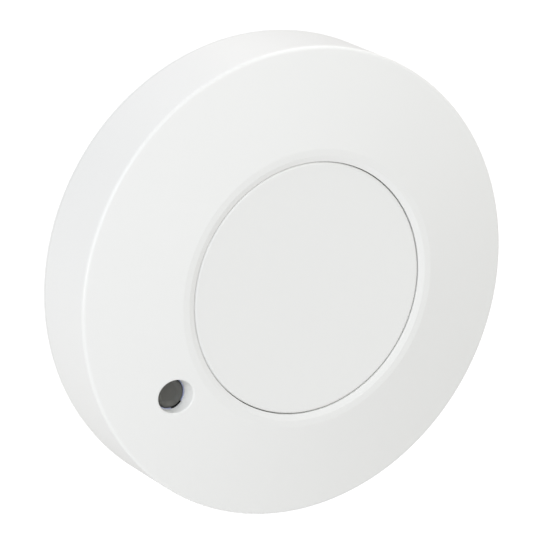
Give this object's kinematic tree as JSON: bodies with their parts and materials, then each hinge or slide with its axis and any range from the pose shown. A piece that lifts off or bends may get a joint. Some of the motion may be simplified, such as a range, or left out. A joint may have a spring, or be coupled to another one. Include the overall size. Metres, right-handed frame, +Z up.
{
  "type": "presence sensor",
  "caption": "Round white wall or ceiling presence sensor with a domed ring, a flat sprung centre plate and a small dark lens; its head twists off a wall plate.",
  "frame": {"origin": "centre of the wall plate's back face, which is the centre of the wall box screws", "axes": "-Y is the way the sensor looks, away from the wall; +Z is up with the lens at the lower left"},
  "size_m": [0.124, 0.0273, 0.124],
  "materials": {
    "cover_white": "fine satin",
    "plate_white": "fine satin",
    "base_white": "fine satin",
    "inner_grey": "matte moulded",
    "gasket_rubber": "soft rubber",
    "terminal_grey": "moulded",
    "clamp_metal": "zinc plated",
    "screw_steel": "zinc plated",
    "contact_brass": "tinned spring brass",
    "spring_steel": "bright rolled",
    "board_mask": "solder mask",
    "antenna_copper": "gold plated copper",
    "shield_tin": "tinned sheet",
    "chip_black": "moulded epoxy",
    "header_black": "moulded",
    "can_aluminium": "drawn can",
    "ceramic_tan": "fired ceramic",
    "lamp_white": "moulded",
    "shroud_black": "matte moulded",
    "ring_clear": "frosted clear",
    "lens_smoke": "polished smoked",
    "plunger_white": "moulded"
  },
  "bodies": {
    "base": {"wall_plate": "base_white", "wall_gasket": "gasket_rubber", "terminal_housing": "terminal_grey", "terminal_clamps": "clamp_metal", "terminal_screws": "screw_steel", "contact_springs": "contact_brass"},
    "head": {"front_cover": "cover_white", "rear_cover": "inner_grey", "cover_screws": "screw_steel", "contact_tracks": "contact_brass", "main_board": "board_mask", "board_screws": "screw_steel", "inner_frame": "inner_grey", "frame_screws": "screw_steel", "radar_board": "board_mask", "antenna_patches": "antenna_copper", "radar_shield": "shield_tin", "radar_chip": "chip_black", "header_body": "header_black", "header_pins": "contact_brass", "header_socket": "header_black", "microcontroller": "chip_black", "crystal": "shield_tin", "radio_board": "board_mask", "radio_shield": "shield_tin", "supply_controller": "chip_black", "supply_inductor": "chip_black", "supply_capacitors": "can_aluminium", "light_sensor": "chip_black", "status_leds": "lamp_white", "light_shroud": "shroud_black", "light_ring": "ring_clear", "lens": "lens_smoke", "switch_body": "header_black", "return_spring": "spring_steel", "chip_resistors": "chip_black", "chip_capacitors": "ceramic_tan"},
    "disc": {"centre_disc": "plate_white"},
    "plunger": {"switch_plunger": "plunger_white"}
  },
  "joints": [
    {"name": "head_twist", "type": "hinge", "parent": "base", "child": "head", "pos_m": [0, 0, 0], "axis": [0, -1, 0], "range_deg": [0, 18]},
    {"name": "disc_press", "type": "slide", "parent": "head", "child": "disc", "axis": [0, 1, 0], "range_m": [0, 0.0006], "stiffness_N_per_m": 600, "springref_m": -0.001, "deforming": ["return_spring"]},
    {"name": "plunger_press", "type": "slide", "parent": "head", "child": "plunger", "axis": [0, 1, 0], "range_m": [0, 0.0006]}
  ],
  "couplings": [
    {"joint": "plunger_press", "follows": "disc_press", "ratio": 1}
  ]
}
